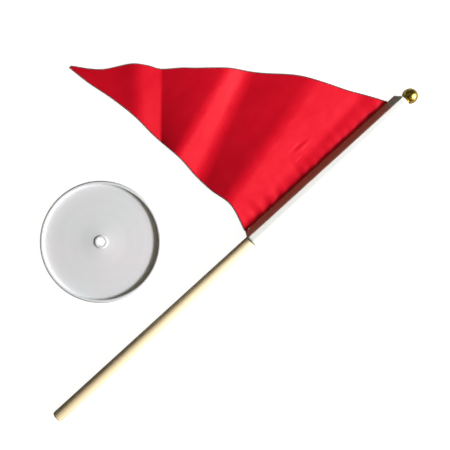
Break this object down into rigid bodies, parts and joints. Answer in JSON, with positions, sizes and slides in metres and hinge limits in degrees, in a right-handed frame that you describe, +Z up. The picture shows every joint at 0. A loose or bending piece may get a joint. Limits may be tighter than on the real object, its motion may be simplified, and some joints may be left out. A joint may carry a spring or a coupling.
{
  "type": "pennant flag with pole and base",
  "caption": "Triangular red pennant with a white sleeve on a wooden pole with a brass ball, laid beside its shallow round white base dish.",
  "frame": {"origin": "centre of the laid-out set's footprint, on the surface it lies on", "axes": "+X along the pole from its foot to the ball, +Y from the pole out to the flag's side, +Z up from the surface"},
  "size_m": [0.5, 0.2693, 0.016],
  "materials": {
    "pole_wood": "bare pale wood, fine straight grain",
    "finial_brass": "polished",
    "pin_steel": "plain drawn",
    "sleeve_canvas": "white plain-woven cotton",
    "flag_satin": "red satin with a soft sheen",
    "edge_thread": "dark red finishing thread",
    "seam_thread": "off-white sewing thread",
    "base_plastic": "smooth white moulding, satin"
  },
  "bodies": {
    "pole": {"pole_dowel": "pole_wood"},
    "finial": {"finial_ball": "finial_brass", "finial_pin": "pin_steel"},
    "flag": {"flag_sleeve": "sleeve_canvas", "flag_cloth": "flag_satin", "upper_edge_thread": "edge_thread", "lower_edge_thread": "edge_thread", "seam_thread": "seam_thread", "seam_end_knot": "seam_thread"},
    "base": {"base_dish": "base_plastic"}
  },
  "joints": [
    {"name": "flag_swivel", "type": "hinge", "parent": "pole", "child": "flag", "pos_m": [0, -0.12665, 0.008], "axis": [1, 0, 0], "continuous": true},
    {"name": "finial_pull", "type": "slide", "parent": "pole", "child": "finial", "axis": [1, 0, 0], "range_m": [0, 0.014]},
    {"name": "base_lift", "type": "slide", "parent": "pole", "child": "base", "axis": [0, 0, 1], "range_m": [0, 0.06]}
  ]
}
